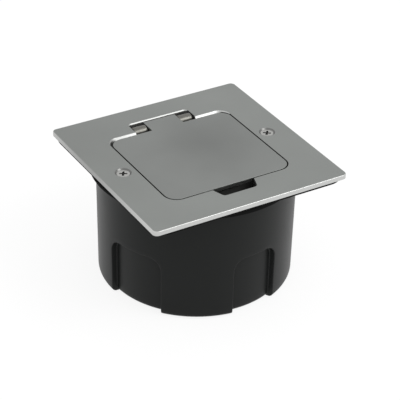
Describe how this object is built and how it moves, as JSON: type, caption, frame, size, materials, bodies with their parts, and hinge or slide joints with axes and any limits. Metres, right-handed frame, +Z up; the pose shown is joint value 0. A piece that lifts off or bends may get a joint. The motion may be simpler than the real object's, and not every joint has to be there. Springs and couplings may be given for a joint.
{
  "type": "flush floor socket",
  "caption": "Flush floor socket: square satin metal plate with a hinged lid over a round black back box, with a recessed earthed socket in the well below the lid.",
  "frame": {"origin": "centre of the back box's underside", "axes": "+Z up through the lid, +Y to the hinge, -Y to the finger notch, +X to the right seen from the notch"},
  "size_m": [0.13, 0.13, 0.08],
  "materials": {
    "plate_metal": "satin, fine brushed, bright machined edges",
    "lid_metal": "satin, fine brushed",
    "bright_steel": "bright",
    "zinc_steel": "zinc plated",
    "brass": "plain",
    "box_plastic": "fine moulded texture",
    "frame_plastic": "fine moulded texture",
    "socket_plastic": "semi-gloss",
    "base_plastic": "moulded",
    "shutter_plastic": "moulded",
    "rubber": "matt"
  },
  "bodies": {
    "housing": {"back_box": "box_plastic", "screw_inserts": "brass", "plate_gasket": "rubber", "cover_plate": "plate_metal", "plate_screws": "bright_steel", "well_frame": "frame_plastic", "frame_screws": "zinc_steel", "hinge_pin": "bright_steel", "lid_gasket": "rubber", "socket_face": "socket_plastic", "face_screw": "zinc_steel", "support_yoke": "zinc_steel", "yoke_rivets": "zinc_steel", "yoke_screws": "zinc_steel", "mechanism_base": "base_plastic", "line_contact": "brass", "neutral_contact": "brass", "earth_bracket": "brass", "terminal_clamps": "zinc_steel", "terminal_screws": "zinc_steel", "shutter_spring": "bright_steel"},
    "lid": {"lid": "lid_metal"},
    "shutter": {"shutter": "shutter_plastic"}
  },
  "joints": [
    {"name": "lid_hinge", "type": "hinge", "parent": "housing", "child": "lid", "pos_m": [0, 0.043, 0.07624], "axis": [-1, 0, 0], "range_deg": [0, 105]},
    {"name": "shutter_slide", "type": "slide", "parent": "housing", "child": "shutter", "axis": [0, 1, 0], "range_m": [0, 0.006], "stiffness_N_per_m": 60, "springref_m": -0.002, "deforming": ["shutter_spring"]}
  ]
}
